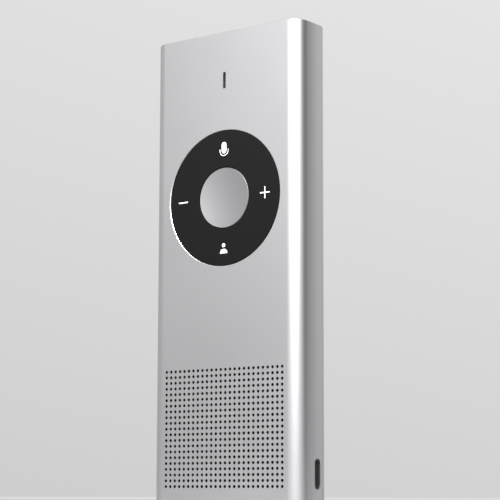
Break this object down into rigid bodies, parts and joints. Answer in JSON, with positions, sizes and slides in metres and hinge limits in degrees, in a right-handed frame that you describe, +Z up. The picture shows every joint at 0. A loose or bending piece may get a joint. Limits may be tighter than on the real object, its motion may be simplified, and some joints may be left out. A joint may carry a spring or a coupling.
{
  "type": "handheld translator",
  "caption": "Slim upright hand-held voice device: aluminium tube with a rocking key ring, dished centre button, speaker hole grid, status slit and side charging port.",
  "frame": {"origin": "middle of the bottom end face, which the device can stand on", "axes": "+Z up the length, -Y out of the face with the keys, +X out of the side with the charging port"},
  "size_m": [0.0448, 0.0126, 0.1166],
  "materials": {
    "anodised_aluminium": "bead-blasted, clear anodised",
    "button_aluminium": "bead-blasted, clear anodised",
    "cap_plastic": "fine matt, silver grey",
    "screw_steel": "black oxide",
    "tray_plastic": "moulded",
    "board_green": "solder mask",
    "dome_steel": "stamped spring steel",
    "can_steel": "tin plated",
    "chip_black": "moulded package",
    "light_chip": "phosphor window",
    "black_rubber": "matt",
    "foil_copper": "bare copper",
    "cell_foil": "pouch foil",
    "foam_grey": "closed-cell foam",
    "plug_plastic": "moulded",
    "lead_sleeve": "wire insulation",
    "mesh_cloth": "woven dust mesh",
    "black_plastic": "moulded",
    "cone_film": "pressed film",
    "magnet_nickel": "nickel plated",
    "socket_steel": "drawn",
    "cable_film": "amber film",
    "smoked_clear": "smoked clear",
    "key_black": "fine satin",
    "legend_white": "second-shot white"
  },
  "bodies": {
    "housing": {"body_shell": "anodised_aluminium", "top_cap": "cap_plastic", "bottom_cap": "cap_plastic", "cap_screws": "screw_steel", "chassis_tray": "tray_plastic", "main_board": "board_green", "board_screws": "screw_steel", "key_domes": "dome_steel", "screening_can": "can_steel", "board_chips": "chip_black", "status_light": "light_chip", "microphones": "can_steel", "microphone_boots": "black_rubber", "antenna_holder": "tray_plastic", "antenna_foil": "foil_copper", "battery_cell": "cell_foil", "battery_foam": "foam_grey", "battery_board": "board_green", "battery_plug": "plug_plastic", "battery_leads": "lead_sleeve", "grille_mesh": "mesh_cloth", "speaker_gasket": "foam_grey", "speaker_box": "black_plastic", "speaker_basket": "dome_steel", "speaker_cone": "cone_film", "speaker_surround": "black_rubber", "voice_coil": "foil_copper", "speaker_magnet": "magnet_nickel", "speaker_leads": "lead_sleeve", "port_socket": "socket_steel", "port_tongue": "black_plastic", "port_board": "board_green", "flat_cable": "cable_film", "light_guide": "smoked_clear", "key_frame": "tray_plastic"},
    "spring_plate": {"ring_spring": "dome_steel"},
    "ring": {"ring_key": "key_black", "ring_legends": "legend_white"},
    "centre": {"centre_button": "button_aluminium", "button_carrier": "black_plastic"}
  },
  "joints": [
    {"name": "ring_rock_up_down", "type": "hinge", "parent": "housing", "child": "spring_plate", "pos_m": [0, -0.00395, 0.0749], "axis": [1, 0, 0], "range_deg": [-0.8, 0.8], "stiffness_Nm_per_rad": 0.8},
    {"name": "ring_rock_left_right", "type": "hinge", "parent": "spring_plate", "child": "ring", "pos_m": [0, -0.00395, 0.0749], "axis": [0, 0, 1], "range_deg": [-0.8, 0.8], "stiffness_Nm_per_rad": 0.8},
    {"name": "centre_press", "type": "slide", "parent": "housing", "child": "centre", "axis": [0, 1, 0], "range_m": [0, 0.0003], "stiffness_N_per_m": 5000, "deforming": ["key_domes"]}
  ]
}
